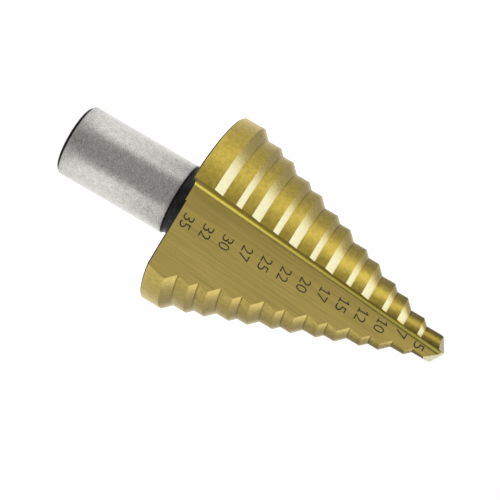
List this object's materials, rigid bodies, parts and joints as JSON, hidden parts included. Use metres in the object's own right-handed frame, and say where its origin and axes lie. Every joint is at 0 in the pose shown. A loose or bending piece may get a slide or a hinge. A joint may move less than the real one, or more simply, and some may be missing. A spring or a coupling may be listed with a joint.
{
  "type": "step drill",
  "caption": "Stepped cone drill for sheet metal, with straight flutes, a split point, a gold-coloured coating and a plain round shank.",
  "frame": {"origin": "centre of the shank's end face, at the base of the tool", "axes": "+Z along the tool's axis towards the point; the flute that carries the size numbers faces -Y"},
  "size_m": [0.035, 0.034, 0.072],
  "materials": {
    "coated_steel": "hard gold-coloured coating over ground steel",
    "ground_steel": "bare steel with a fine even grain, on the shank",
    "dark_oxide": "black oxide, on the neck and the back face"
  },
  "bodies": {
    "root": {"step_drill": "coated_steel"}
  },
  "joints": []
}
